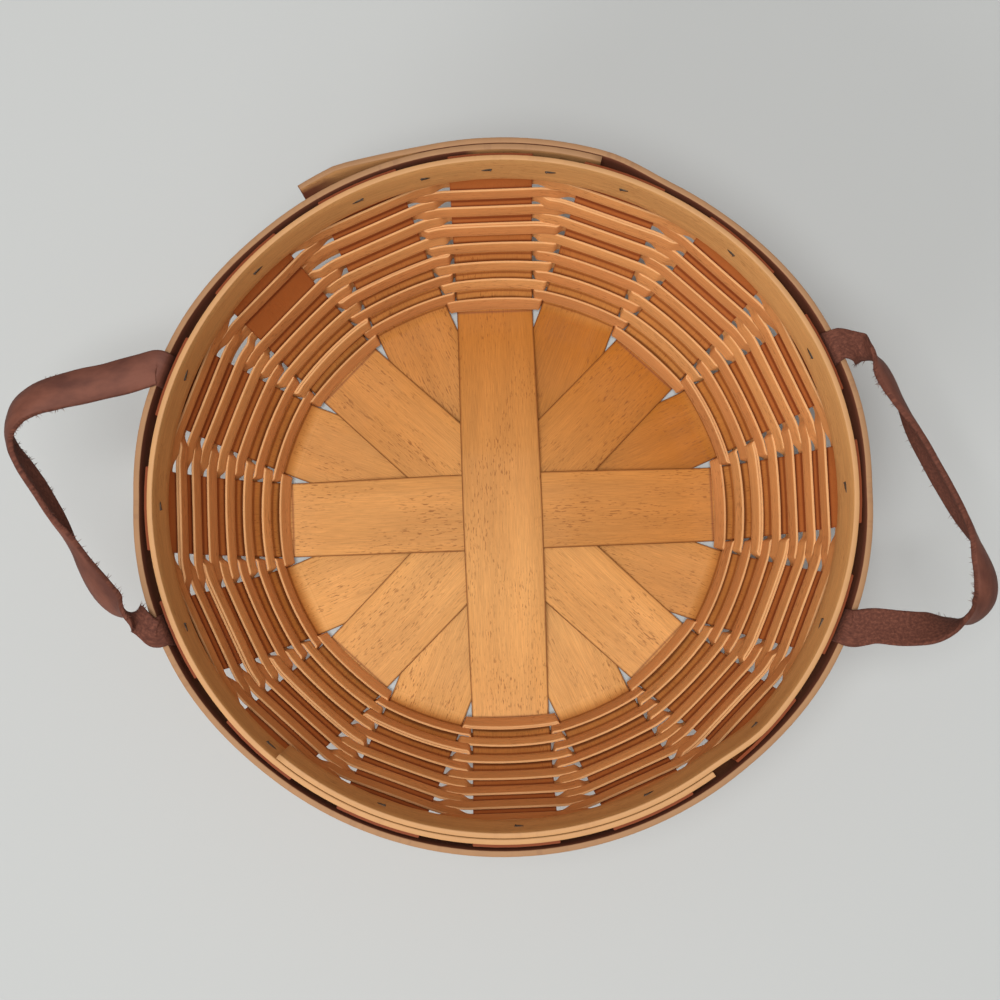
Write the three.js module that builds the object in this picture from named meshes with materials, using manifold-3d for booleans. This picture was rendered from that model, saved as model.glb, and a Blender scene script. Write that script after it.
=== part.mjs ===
// Round splint basket with two leather loop handles.
// Millimetres, +Z up. The origin is the middle of the underside, and +X points at the right handle.
import * as THREE from "three";
import { mergeVertices } from "three/addons/utils/BufferGeometryUtils.js";
import Module from "manifold-3d";

const wasm = await Module();
wasm.setup();

// Splint stock
const UPRIGHT_WIDTH = 32; // at the middle of the base
const UPRIGHT_TIP_WIDTH = 29.6; // at the rim
const UPRIGHT_THICKNESS = 1;
const WEAVER_WIDTH = 6;
const WEAVER_THICKNESS = 0.8;
const CLEARANCE = 0.25; // between pieces that lie on one another
const WEAVE_CLEARANCE = 0.12; // between a weaver and the upright or weaver it is pulled against

// Bowl
const ROUNDNESS = 0.97; // from front to back over from side to side
const BASE_RADIUS = 84; // where the uprights leave the floor of the basket
const BEND_RADIUS = 7;
const WALL_FOOT_ANGLE = 60; // degrees from level, just above the bend
const WALL_TOP_ANGLE = 83;
const WALL_LENGTH = 103; // along the wall, from the bend to the rim's top edge
const FIRST_ROW = 2.8; // along the upright, from the floor's edge to the first weaver
const ROW_GAP = 0.2;
const LAP_UPRIGHT = 12; // where the first row's ends overlap
const LAP_SHIFT = 5; // uprights from one row's overlap to the next row's
const EDGE_SHARE = 0.15; // of the space beside an upright that a weaver crosses before it turns
const MISSED_PASS = { row: 10, upright: 6 }; // where one weaver stays outside an upright

// Rim
const BAND_HEIGHT = 16;
const INNER_BAND_THICKNESS = 2;
const OUTER_BAND_THICKNESS = 2.2;
const BAND_ROOM = 2.2; // between the uprights and the outer band, where a strap is tucked in
const BAND_ROOM_FULL = 6; // degrees each side of a strap over which the band keeps that room
const BAND_ROOM_CLOSED = 30; // degrees from a strap where the band lies on the uprights again
const UPRIGHT_DROP = 1; // from the rim's top edge down to the uprights' ends
const INNER_LAP = { start: 304, length: 76 }; // degrees: the hidden end, and how far the ends overlap
const OUTER_LAP = { start: 120.5, length: 48.5 }; // degrees: the free end, and the overlap
const LAP_RAMP = 12; // degrees over which a band steps from one layer to the other
const FREE_END_LENGTH = 21; // degrees of the outer band's free end that spring away
const FREE_END_LIFT = 5.5; // how far its tip springs
const FREE_END_LEAN = 17; // degrees that its tip leans outwards
const FREE_END_EASE = 1.5; // power by which the lean comes on towards the tip
const FREE_END_CUT = 6.5; // degrees over which its top corner is cut away
const FREE_END_DROP = 5; // depth of that cut at the tip

// Tacks
const TACK_SHANK_RADIUS = 0.6;
const TACK_HEAD_RADIUS = 2;
const TACK_HEAD_THICKNESS = 0.7;
const TACK_CROWN = 0.75; // of the head's radius and thickness, where its edge turns over
const TACK_POINT = 0.8; // of the shank that shows inside the rim
const LAP_TACKS = [80.5, 101.8]; // degrees: two more tacks close the outer band's overlap

// Leather straps
const STRAP_WIDTH = 12.5;
const STRAP_THICKNESS = 2.2;
const STRAP_TUCK_THICKNESS = 1.2; // the ends are pared down where they go into the rim
const STRAP_TUCK = 11.5; // depth in the rim
const TUCK_SET = 0.3; // between the flat strap and the round band, at the middle of the strap
const HINGE_STAND = 1; // from the top of the uprights out to the line where a loop swings

// Strips in the order they are stacked, lowest first. Each keeps its own level round the middle,
// out to level, and comes down to its edge level by settle. Both are in strip widths.
const STACK = [
  { turn: 22.5, level: 0.5, settle: 0.9, edge: 0 },
  { turn: 112.5, level: 0.55, settle: 0.95, edge: 0 },
  { turn: 67.5, level: 0.74, settle: 1.69, edge: 0 },
  { turn: 157.5, level: 0.6, settle: 1.75, edge: 0 },
  { turn: 45, level: 0.75, settle: 1.95, edge: 1 },
  { turn: 135, level: 0.6, settle: 2.06, edge: 1 },
  { turn: 0, level: 0.82, settle: 2.4, edge: 1 },
  { turn: 90, level: 0.75, settle: 2.4, edge: 1 },
];
const EDGE_RISE = 7; // over which the lowest strips come up to the others, inside the floor's edge

// Each handle's frame is turned so that +X points outwards. Its strap is tucked in at two bearings
// and the loop runs from the first to the second: [out, along, up, roll], roll in degrees from flat.
const HANDLES = [
  {
    name: "right_handle",
    turn: 0,
    tucks: [-24, 22.6],
    route: [
      [0, -51, 0, 0],
      [9.4, -52.4, -0.4, 0],
      [17.9, -53.2, -1.5, 35],
      [25.1, -52.6, -3, 62],
      [30.8, -50.9, -4.5, 85],
      [36.9, -48.7, -6, 108],
      [41.6, -43, -7, 122],
      [42.5, -36, -7.5, 116],
      [41, -27.6, -8, 105],
      [38, -19.2, -8, 96],
      [34.1, -10.7, -8, 92],
      [26.6, 4.4, -7, 92],
      [20.2, 17.3, -5.5, 92],
      [14.6, 28.4, -3.5, 95],
      [10.6, 36, -1.5, 105],
      [6.8, 41.8, 0, 130],
      [2.8, 45.5, 0.6, 160],
      [0, 47.1, 0, 180],
    ],
  },
  {
    name: "left_handle",
    turn: 178.65,
    tucks: [-21.65, 21.65],
    route: [
      [0, -45.6, 0, 0],
      [10.6, -42.9, -0.4, 0],
      [21.1, -40.8, -1.2, 0],
      [30.6, -39, -2.5, 8],
      [38.5, -37, -4, 28],
      [44.6, -33.2, -5.5, 52],
      [47.7, -26.5, -6.8, 75],
      [46.6, -19.4, -7.5, 88],
      [43.4, -13.5, -8, 92],
      [37.4, -4.1, -8, 92],
      [31, 6.6, -7.5, 90],
      [25.4, 15.3, -6.5, 84],
      [20.2, 24.8, -5, 78],
      [12.6, 33.9, -2, 84],
      [7.5, 38.2, -0.6, 110],
      [3, 41, 0.6, 158],
      [0, 42.6, 0, 180],
    ],
  },
];

// Finish
const uprightWood = new THREE.MeshStandardMaterial({ color: 0xcd9650, roughness: 0.6 });
const weaverWood = new THREE.MeshStandardMaterial({ color: 0xb87840, roughness: 0.6 });
const rimWood = new THREE.MeshStandardMaterial({ color: 0xb4824b, roughness: 0.55 });
const leather = new THREE.MeshStandardMaterial({ color: 0x6e4132, roughness: 0.7 });
const tackMetal = new THREE.MeshStandardMaterial({ color: 0x3a332c, roughness: 0.5, metalness: 0.8 });

const UP = new THREE.Vector3(0, 0, 1);
const UPRIGHT_COUNT = 2 * STACK.length;
const UPRIGHT_STEP = 360 / UPRIGHT_COUNT;
const STRAPS = HANDLES.flatMap(({ turn, tucks }) => tucks.map((tuck) => turn + tuck)); // bearings
const LAYER = UPRIGHT_THICKNESS + CLEARANCE;

const FULL_TURN = 360;

const radians = THREE.MathUtils.degToRad;
const { clamp, lerp, smoothstep, euclideanModulo } = THREE.MathUtils;

function degreesApart(a, b) {
  return Math.abs(euclideanModulo(a - b + FULL_TURN / 2, FULL_TURN) - FULL_TURN / 2);
}

// Solids

// A closed strip through oblong sections. Each section has its centre, unit vectors across and out
// (along its width and its thickness), a width and a thickness.
function strip(sections) {
  const [first, second] = sections;
  const travel = second.centre.clone().sub(first.centre);
  const ordered = first.across.clone().cross(first.out).dot(travel) > 0;
  const run = ordered ? sections : [...sections].reverse();
  const corners = [[-1, -1], [1, -1], [1, 1], [-1, 1]];
  const positions = [];
  for (const { centre, across, out, width, thickness } of run) {
    for (const [i, j] of corners) {
      const corner = centre.clone();
      corner.addScaledVector(across, (i * width) / 2);
      corner.addScaledVector(out, (j * thickness) / 2);
      positions.push(...corner.toArray());
    }
  }
  const index = [];
  const quad = (a, b, c, d) => index.push(a, b, c, a, c, d);
  const end = 4 * (run.length - 1);
  for (let from = 0; from < end; from += 4) {
    for (let side = 0; side < 4; side += 1) {
      const next = (side + 1) % 4;
      quad(from + side, from + next, from + 4 + next, from + 4 + side);
    }
  }
  quad(3, 2, 1, 0);
  quad(end, end + 1, end + 2, end + 3);
  const geometry = new THREE.BufferGeometry();
  geometry.setAttribute("position", new THREE.Float32BufferAttribute(positions, 3));
  geometry.setIndex(index);
  return geometry;
}

function toSolid(geometry) {
  const bare = geometry.clone();
  bare.deleteAttribute("normal");
  bare.deleteAttribute("uv");
  const merged = mergeVertices(bare, 1e-4);
  const vertProperties = merged.getAttribute("position").array;
  const triVerts = new Uint32Array(merged.index.array);
  return new wasm.Manifold(new wasm.Mesh({ numProp: 3, vertProperties, triVerts }));
}

function toGeometry(solid) {
  const { vertProperties, triVerts } = solid.getMesh();
  const geometry = new THREE.BufferGeometry();
  geometry.setAttribute("position", new THREE.BufferAttribute(vertProperties, 3));
  geometry.setIndex(new THREE.BufferAttribute(triVerts, 1));
  return geometry;
}

function drill(geometry, holes) {
  let solid = toSolid(geometry);
  for (const hole of holes) {
    solid = solid.subtract(toSolid(hole));
  }
  return toGeometry(solid);
}

// The upright's course

// Unit vectors at a bearing in degrees: out from the axis, and along the rim.
function outward(bearing) {
  return new THREE.Vector3(Math.cos(radians(bearing)), Math.sin(radians(bearing)), 0);
}
function sideways(bearing) {
  return outward(bearing + 90);
}

// A point of the wall in the upright's own plane: distance along the upright from the middle of the
// base gives the radius, the height and the slope, at the middle of the upright's thickness.
const FOOT_HEIGHT = LAYER + UPRIGHT_THICKNESS / 2;
const BEND_LENGTH = BEND_RADIUS * radians(WALL_FOOT_ANGLE);
const WALL_START = BASE_RADIUS + BEND_LENGTH;
const UPRIGHT_REACH = WALL_START + WALL_LENGTH;
const WALL_RADIUS = WALL_LENGTH / radians(WALL_TOP_ANGLE - WALL_FOOT_ANGLE);

function courseAt(along) {
  const bend = radians(clamp((along - BASE_RADIUS) / BEND_LENGTH, 0, 1) * WALL_FOOT_ANGLE);
  let radius = Math.min(along, BASE_RADIUS) + BEND_RADIUS * Math.sin(bend);
  let height = FOOT_HEIGHT + BEND_RADIUS * (1 - Math.cos(bend));
  let slope = bend;
  if (along > WALL_START) {
    slope = bend + (along - WALL_START) / WALL_RADIUS;
    radius += WALL_RADIUS * (Math.sin(slope) - Math.sin(bend));
    height += WALL_RADIUS * (Math.cos(bend) - Math.cos(slope));
  }
  return { radius, height, slope };
}

function uprightWidth(along) {
  return lerp(UPRIGHT_WIDTH, UPRIGHT_TIP_WIDTH, along / UPRIGHT_REACH);
}

// A frame on the wall at a bearing: across lies along the rim, up follows the slope, and inward is
// square to the wall, towards the axis.
function wallFrame(along, bearing) {
  const { radius, height, slope } = courseAt(along);
  const out = outward(bearing);
  const up = out.clone().multiplyScalar(Math.cos(slope)).addScaledVector(UP, Math.sin(slope));
  const inward = out.clone().multiplyScalar(-Math.sin(slope)).addScaledVector(UP, Math.cos(slope));
  const centre = out.clone().multiplyScalar(radius).addScaledVector(UP, height);
  return { centre, across: sideways(bearing), up, inward };
}

// Uprights

const BEND_STEPS = 6;
const WALL_STEPS = 10;

function floorLevel(order, along) {
  const { level, settle, edge } = STACK[order];
  const fall = clamp((along / UPRIGHT_WIDTH - level) / (settle - level), 0, 1);
  const rise = clamp((along - BASE_RADIUS + EDGE_RISE) / EDGE_RISE, 0, 1);
  return lerp(lerp(order, edge, fall), 1, rise);
}

function uprightSection(order, along, bearing) {
  const frame = wallFrame(along, bearing);
  if (along < BASE_RADIUS) {
    frame.centre.z = LAYER * floorLevel(order, along) + UPRIGHT_THICKNESS / 2;
  }
  const size = { width: uprightWidth(along), thickness: UPRIGHT_THICKNESS };
  return { centre: frame.centre, across: frame.across, out: frame.inward, ...size };
}

function uprightStrip(order) {
  const { turn, level, settle } = STACK[order];
  const stops = [level * UPRIGHT_WIDTH, settle * UPRIGHT_WIDTH, BASE_RADIUS - EDGE_RISE];
  const top = UPRIGHT_REACH - UPRIGHT_DROP;
  for (let step = 0; step <= BEND_STEPS; step += 1) {
    stops.push(BASE_RADIUS + (BEND_LENGTH * step) / BEND_STEPS);
  }
  for (let step = 1; step <= WALL_STEPS; step += 1) {
    stops.push(lerp(WALL_START, top, step / WALL_STEPS));
  }
  const near = stops.map((along) => uprightSection(order, along, turn));
  const far = stops.map((along) => uprightSection(order, along, turn + 180));
  for (const section of far) {
    section.across.negate();
  }
  return strip([...far.reverse(), ...near]);
}

// Weavers

const ROW_PITCH = WEAVER_WIDTH + ROW_GAP;
const WOVEN_LENGTH = UPRIGHT_REACH - BAND_HEIGHT - BASE_RADIUS - FIRST_ROW;
const ROW_COUNT = Math.floor((WOVEN_LENGTH + ROW_GAP) / ROW_PITCH);
const LAP_LAYER = WEAVER_THICKNESS + 2 * WEAVE_CLEARANCE;
const SAG_STEPS = 40;

// How far the curved upright's inner face stands in front of a flat weaver's edges.
function sagAt(along) {
  const face = (place) => {
    const { centre, up, inward } = wallFrame(place, 0);
    return { point: centre.addScaledVector(inward, UPRIGHT_THICKNESS / 2), up, inward };
  };
  const middle = face(along);
  const stands = [0];
  for (let step = -SAG_STEPS; step <= SAG_STEPS; step += 1) {
    const away = face(along + (step * WEAVER_WIDTH) / SAG_STEPS).point.sub(middle.point);
    if (Math.abs(away.dot(middle.up)) <= WEAVER_WIDTH / 2) {
      stands.push(away.dot(middle.inward));
    }
  }
  return Math.max(...stands);
}

function weaverRow(row) {
  const along = BASE_RADIUS + FIRST_ROW + WEAVER_WIDTH / 2 + row * ROW_PITCH;
  const low = courseAt(along - WEAVER_WIDTH / 2);
  const halfSpace = low.radius * Math.tan(radians(UPRIGHT_STEP / 2)) - uprightWidth(along) / 2;
  const turnAt = uprightWidth(along) / 2 + EDGE_SHARE * halfSpace;
  const lift = UPRIGHT_THICKNESS / 2 + WEAVE_CLEARANCE + WEAVER_THICKNESS / 2;
  const liftInside = lift + sagAt(along);
  const start = LAP_UPRIGHT + row * LAP_SHIFT - 1;
  const passes = UPRIGHT_COUNT + 3; // from behind one upright to behind the second after it
  const sections = [];
  for (let pass = 0; pass < passes; pass += 1) {
    const upright = (start + pass) % UPRIGHT_COUNT;
    const missed = row === MISSED_PASS.row && upright === MISSED_PASS.upright;
    const inside = pass % 2 === 1 && !missed;
    const firstLayer = pass < 3;
    const secondLayer = pass >= UPRIGHT_COUNT;
    let offset = inside ? liftInside : -lift;
    if (firstLayer && !inside) offset -= LAP_LAYER;
    if (secondLayer && inside) offset += LAP_LAYER;
    const frame = wallFrame(along, (start + pass) * UPRIGHT_STEP);
    const ends = [pass === 0 ? 0 : -turnAt, pass === passes - 1 ? 0 : turnAt];
    for (const beside of ends) {
      const centre = frame.centre.clone();
      centre.addScaledVector(frame.across, beside).addScaledVector(frame.inward, offset);
      const size = { width: WEAVER_WIDTH, thickness: WEAVER_THICKNESS };
      sections.push({ centre, across: frame.up, out: frame.inward, ...size });
    }
  }
  return strip(sections);
}

// Rim

const BAND_ALONG = UPRIGHT_REACH - BAND_HEIGHT / 2;
const INNER_BAND_OFFSET = -(UPRIGHT_THICKNESS / 2 + CLEARANCE + INNER_BAND_THICKNESS / 2);
const BAND_CURVE = courseAt(BAND_ALONG).radius;
const INNER_LAYER = INNER_BAND_THICKNESS + CLEARANCE;
const OUTER_LAYER = OUTER_BAND_THICKNESS + CLEARANCE;
const BAND_STEP = 5; // degrees between a band's sections

// Room between a round band and flat uprights, whose edges stand further out than their middles.
const BAND_STAND = Math.hypot(BAND_CURVE, UPRIGHT_TIP_WIDTH / 2) - BAND_CURVE + CLEARANCE;

// A section of a band, offset outwards from the middle of the uprights. Its top can lean outwards and
// be cut down.
function bandSection(bearing, offset, thickness, lean = 0, drop = 0) {
  const { centre, up, inward } = wallFrame(BAND_ALONG, bearing);
  const across = up.clone().multiplyScalar(Math.cos(lean)).addScaledVector(inward, -Math.sin(lean));
  const out = inward.clone().multiplyScalar(Math.cos(lean)).addScaledVector(up, Math.sin(lean));
  centre.addScaledVector(inward, -offset).addScaledVector(across, -drop / 2);
  return { centre, across, out, width: BAND_HEIGHT - drop, thickness };
}

// The inner band's offset, from its hidden end at 0 degrees of travel to its end inside the basket.
function innerOffset(travel) {
  const ramp = clamp((travel - FULL_TURN + LAP_RAMP) / LAP_RAMP, 0, 1);
  return INNER_BAND_OFFSET - INNER_LAYER * ramp;
}

// The offset of the outer band's inner layer: it lies on the uprights, and makes room for the straps.
function outerLayerOffset(bearing) {
  const away = Math.min(...STRAPS.map((strap) => degreesApart(strap, bearing)));
  const room = lerp(BAND_ROOM, BAND_STAND, smoothstep(away, BAND_ROOM_FULL, BAND_ROOM_CLOSED));
  return UPRIGHT_THICKNESS / 2 + room + OUTER_BAND_THICKNESS / 2;
}

// How far the outer band's free end has sprung away, from 1 at its tip to 0.
function springAt(travel) {
  return clamp(1 - travel / FREE_END_LENGTH, 0, 1);
}

// The outer band's offset, from its free end at 0 degrees of travel to its end under the lap.
function outerOffset(travel) {
  const layer = outerLayerOffset(OUTER_LAP.start - travel);
  const ramp = clamp((travel - OUTER_LAP.length) / LAP_RAMP, 0, 1);
  return layer + OUTER_LAYER * (1 - ramp) + FREE_END_LIFT * springAt(travel) ** 2;
}

function innerBand() {
  const sweep = FULL_TURN + INNER_LAP.length;
  const count = Math.round(sweep / BAND_STEP);
  const sections = [];
  for (let step = 0; step <= count; step += 1) {
    const travel = (sweep * step) / count;
    sections.push(bandSection(INNER_LAP.start - travel, innerOffset(travel), INNER_BAND_THICKNESS));
  }
  return drill(strip(sections), tackHoles(TACKS));
}

function outerBand() {
  const sweep = FULL_TURN + OUTER_LAP.length;
  const count = Math.round(sweep / BAND_STEP);
  const travels = [0, FREE_END_CUT];
  for (let step = 0; step <= count; step += 1) {
    const travel = (sweep * step) / count;
    if (travel > FREE_END_CUT + BAND_STEP / 2) travels.push(travel);
  }
  const sections = travels.map((travel) => {
    const lean = radians(FREE_END_LEAN * springAt(travel) ** FREE_END_EASE);
    const drop = FREE_END_DROP * clamp(1 - travel / FREE_END_CUT, 0, 1);
    const bearing = OUTER_LAP.start - travel;
    return bandSection(bearing, outerOffset(travel), OUTER_BAND_THICKNESS, lean, drop);
  });
  return drill(strip(sections), tackHoles(TACKS));
}

// Tacks

const TACK_SIDES = 6;
const HOLE_LENGTH = 40;

// How far round its band a bearing lies from the band's start, the way the band runs.
function travelTo(start, bearing) {
  return euclideanModulo(start - bearing, FULL_TURN);
}

// A tack near the outer band's free end holds only the layer under it.
function tackPlan(bearing) {
  const round = travelTo(OUTER_LAP.start, bearing);
  const under = round < FREE_END_LENGTH / 2;
  const outer = outerOffset(under ? round + FULL_TURN : round) + OUTER_BAND_THICKNESS / 2;
  const back = travelTo(INNER_LAP.start, bearing);
  const lapped = back < INNER_LAP.length;
  const inner = innerOffset(lapped ? back + FULL_TURN : back) - INNER_BAND_THICKNESS / 2;
  return { bearing, head: outer + CLEARANCE, point: inner - TACK_POINT };
}

// One tack through each upright, or through the strap that is tucked in over it.
function uprightTacks() {
  const plans = [];
  for (let upright = 0; upright < UPRIGHT_COUNT; upright += 1) {
    const bearing = upright * UPRIGHT_STEP;
    const tucked = STRAPS.find((strap) => degreesApart(strap, bearing) < UPRIGHT_STEP / 4);
    plans.push(tackPlan(tucked ?? bearing));
  }
  return plans;
}

const TACKS = [...uprightTacks(), ...LAP_TACKS.map(tackPlan)];

// Turns a geometry made round the Y axis to run outwards through the rim at a bearing.
function throughRim(geometry, bearing) {
  const { centre, inward } = wallFrame(BAND_ALONG, bearing);
  const out = inward.clone().negate();
  geometry.applyQuaternion(new THREE.Quaternion().setFromUnitVectors(new THREE.Vector3(0, 1, 0), out));
  return geometry.translate(...centre.toArray());
}

function tackHoles(plans) {
  const radius = TACK_SHANK_RADIUS + CLEARANCE;
  return plans.map(({ bearing, head }) => {
    const hole = new THREE.CylinderGeometry(radius, radius, HOLE_LENGTH, TACK_SIDES);
    return throughRim(hole.translate(0, head - HOLE_LENGTH / 2, 0), bearing);
  });
}

function tack({ bearing, head, point }) {
  const profile = [
    [0, point],
    [TACK_SHANK_RADIUS, point + TACK_POINT],
    [TACK_SHANK_RADIUS, head],
    [TACK_HEAD_RADIUS, head],
    [TACK_HEAD_RADIUS * TACK_CROWN, head + TACK_HEAD_THICKNESS * TACK_CROWN],
    [0, head + TACK_HEAD_THICKNESS],
  ];
  const points = profile.map(([radius, height]) => new THREE.Vector2(radius, height));
  return throughRim(new THREE.LatheGeometry(points, TACK_SIDES), bearing);
}

// Handles

const RIM_TOP = courseAt(UPRIGHT_REACH);
const HINGE_REACH = RIM_TOP.radius + HINGE_STAND;
const HINGE_HEIGHT = RIM_TOP.height + CLEARANCE + STRAP_THICKNESS / 2;
const LOOP_STEPS = 40;
const LOOP_END_TURNS = [45, 78]; // degrees round the loop's ends
const TUCK_BROW = 0.3; // below the band's top edge, where a tucked strap starts to turn outwards
const TUCK_TURN = 0.7; // out from there to the middle of the turn
const TUCK_LEDGE = 2.6; // and to where the strap lies flat on the rim

// The end of a strap that is tucked down between the uprights and the outer band, and comes over
// the band's top edge to the line where the loop swings.
function strapTuck(handle, end) {
  const bearing = handle.tucks[end];
  const [, endAlong] = handle.route[end * (handle.route.length - 1)];
  const { centre, up, inward } = wallFrame(BAND_ALONG, bearing);
  const bandFace = outerLayerOffset(handle.turn + bearing) - OUTER_BAND_THICKNESS / 2;
  const offset = bandFace - TUCK_SET - STRAP_TUCK_THICKNESS / 2;
  const middle = centre.addScaledVector(up, BAND_HEIGHT / 2).addScaledVector(inward, -offset);
  const across = sideways(bearing);
  const over = inward.clone().add(UP).normalize();
  const thin = { width: STRAP_WIDTH, thickness: STRAP_TUCK_THICKNESS };
  const full = { width: STRAP_WIDTH, thickness: STRAP_THICKNESS };
  const bottom = middle.clone().addScaledVector(up, -STRAP_TUCK);
  const brow = middle.clone().addScaledVector(up, -TUCK_BROW);
  const turn = middle.clone().addScaledVector(outward(bearing), TUCK_TURN);
  turn.z = HINGE_HEIGHT - CLEARANCE;
  const ledge = middle.clone().addScaledVector(outward(bearing), TUCK_LEDGE);
  ledge.z = HINGE_HEIGHT;
  const finish = new THREE.Vector3(HINGE_REACH, endAlong, HINGE_HEIGHT);
  finish.x -= STRAP_THICKNESS / 2 + CLEARANCE;
  const sections = [
    { centre: bottom, across, out: inward, ...thin },
    { centre: brow, across, out: inward, ...thin },
    { centre: turn, across, out: over, ...thin },
    { centre: ledge, across, out: UP, ...full },
    { centre: finish, across: sideways(0), out: UP, ...full },
  ];
  const { head } = tackPlan(handle.turn + bearing);
  return drill(strip(sections), tackHoles([{ bearing, head }]));
}

// The free loop of a strap. Its ends are round, so they turn on the hinge line clear of the tucks.
function strapLoop({ route }) {
  const hinge = new THREE.Vector3(HINGE_REACH, 0, HINGE_HEIGHT);
  const points = route.map(([out, along, up]) => new THREE.Vector3(out, along, up).add(hinge));
  const curve = new THREE.CatmullRomCurve3(points, false, "centripetal");
  const size = { width: STRAP_WIDTH, thickness: STRAP_THICKNESS };
  const sections = [];
  for (let step = 0; step <= LOOP_STEPS; step += 1) {
    const at = step / LOOP_STEPS;
    const place = at * (route.length - 1);
    const from = Math.min(Math.floor(place), route.length - 2);
    const roll = radians(lerp(route[from][3], route[from + 1][3], place - from));
    const travel = curve.getTangent(at);
    const level = UP.clone().cross(travel).normalize();
    const rise = travel.clone().cross(level);
    let across = level.multiplyScalar(Math.cos(roll)).addScaledVector(rise, Math.sin(roll));
    let out = travel.clone().cross(across);
    if (step === 0 || step === LOOP_STEPS) {
      across = sideways(0);
      out = step === 0 ? UP.clone() : UP.clone().negate();
    }
    sections.push({ centre: curve.getPoint(at), across, out, ...size });
  }
  const round = (section, turn) => {
    const angle = radians(turn);
    const centre = section.centre.clone();
    centre.x -= (STRAP_THICKNESS / 2) * Math.sin(angle);
    return { ...section, centre, thickness: STRAP_THICKNESS * Math.cos(angle) };
  };
  const [first] = sections;
  const last = sections[LOOP_STEPS];
  const lead = LOOP_END_TURNS.map((turn) => round(first, turn)).reverse();
  const tail = LOOP_END_TURNS.map((turn) => round(last, turn));
  return strip([...lead, ...sections, ...tail]);
}

// Assembly

const basket = new THREE.Group();
basket.scale.y = ROUNDNESS;

function addPiece(parent, name, geometry, material) {
  geometry.computeVertexNormals();
  const mesh = new THREE.Mesh(geometry, material);
  mesh.name = name;
  parent.add(mesh);
}

function numbered(name, index) {
  return `${name}_${String(index + 1).padStart(2, "0")}`;
}

STACK.forEach((_, order) => {
  const geometry = drill(uprightStrip(order), tackHoles(TACKS));
  addPiece(basket, numbered("upright_splint", order), geometry, uprightWood);
});
for (let row = 0; row < ROW_COUNT; row += 1) {
  addPiece(basket, numbered("weaver_row", row), weaverRow(row), weaverWood);
}
addPiece(basket, "inner_rim_band", innerBand(), rimWood);
addPiece(basket, "outer_rim_band", outerBand(), rimWood);
TACKS.forEach((plan, index) => {
  addPiece(basket, numbered("rim_tack", index), tack(plan), tackMetal);
});
for (const handle of HANDLES) {
  const frame = new THREE.Group();
  frame.rotation.z = radians(handle.turn);
  basket.add(frame);
  addPiece(frame, `${handle.name}_loop`, strapLoop(handle), leather);
  addPiece(frame, `${handle.name}_tuck_a`, strapTuck(handle, 0), leather);
  addPiece(frame, `${handle.name}_tuck_b`, strapTuck(handle, 1), leather);
}

export default basket;
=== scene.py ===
"""Round splint basket with two leather loop handles: its looks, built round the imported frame.

Lengths are in millimetres until a mesh is made, and then in metres. +Z is up and +X points at the
right handle.
"""

import math

import bpy
import numpy as np
from mathutils import Matrix, Vector


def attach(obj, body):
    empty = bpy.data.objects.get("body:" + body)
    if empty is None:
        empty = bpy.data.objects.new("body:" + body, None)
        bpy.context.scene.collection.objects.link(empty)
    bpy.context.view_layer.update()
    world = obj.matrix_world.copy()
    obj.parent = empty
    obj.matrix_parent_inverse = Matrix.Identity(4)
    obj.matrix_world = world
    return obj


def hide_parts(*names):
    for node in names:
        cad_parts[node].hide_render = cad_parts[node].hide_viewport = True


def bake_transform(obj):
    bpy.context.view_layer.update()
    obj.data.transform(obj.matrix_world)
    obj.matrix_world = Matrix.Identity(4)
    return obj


MM = 0.001

# Splint stock
UPRIGHT_WIDTH = 32.0
UPRIGHT_TIP_WIDTH = 29.6
UPRIGHT_THICKNESS = 1.0
WEAVER_WIDTH = 6.0
CLEARANCE = 0.25

# Bowl
ROUNDNESS = 0.97  # width from front to back, to that from handle to handle
BASE_RADIUS = 84.0
BEND_RADIUS = 7.0
WALL_FOOT_ANGLE = 60.0
WALL_TOP_ANGLE = 83.0
WALL_LENGTH = 103.0
FIRST_ROW = 2.8
ROW_GAP = 0.2
ROW_COUNT = 14
LAP_UPRIGHT = 12
LAP_SHIFT = 5
EDGE_SHARE = 0.15
EDGE_RISE = 7.0

# Strips of the floor, lowest first: bearing, where each starts and stops coming down (in strip
# widths), and its level at the floor's edge
STACK = [
    (22.5, 0.5, 0.9, 0),
    (112.5, 0.55, 0.95, 0),
    (67.5, 0.74, 1.69, 0),
    (157.5, 0.6, 1.75, 0),
    (45.0, 0.75, 1.95, 1),
    (135.0, 0.6, 2.06, 1),
    (0.0, 0.82, 2.4, 1),
    (90.0, 0.75, 2.4, 1),
]

# Rim
BAND_HEIGHT = 16.0
INNER_BAND_THICKNESS = 2.0
OUTER_BAND_THICKNESS = 2.2
BAND_ROOM = 2.2
BAND_ROOM_FULL = 6.0
BAND_ROOM_CLOSED = 30.0
UPRIGHT_DROP = 1.0
INNER_LAP_START = 304.0
INNER_LAP = 76.0
OUTER_LAP_START = 120.5
OUTER_LAP = 48.5
LAP_RAMP = 12.0
FREE_END_LENGTH = 21.0
FREE_END_LIFT = 5.5
FREE_END_LEAN = 17.0
FREE_END_EASE = 1.5
FREE_END_CUT = 6.5
FREE_END_DROP = 5.0

# Tacks
TACK_SHANK_RADIUS = 0.6
TACK_HEAD_RADIUS = 2.0
TACK_HEAD_THICKNESS = 0.7
TACK_POINT = 0.8
LAP_TACKS = [80.5, 101.8]

# Straps
STRAP_WIDTH = 12.5
STRAP_THICKNESS = 2.2
STRAP_TUCK_THICKNESS = 1.2
STRAP_TUCK = 11.5
TUCK_SET = 0.3
HINGE_STAND = 1.0
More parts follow.
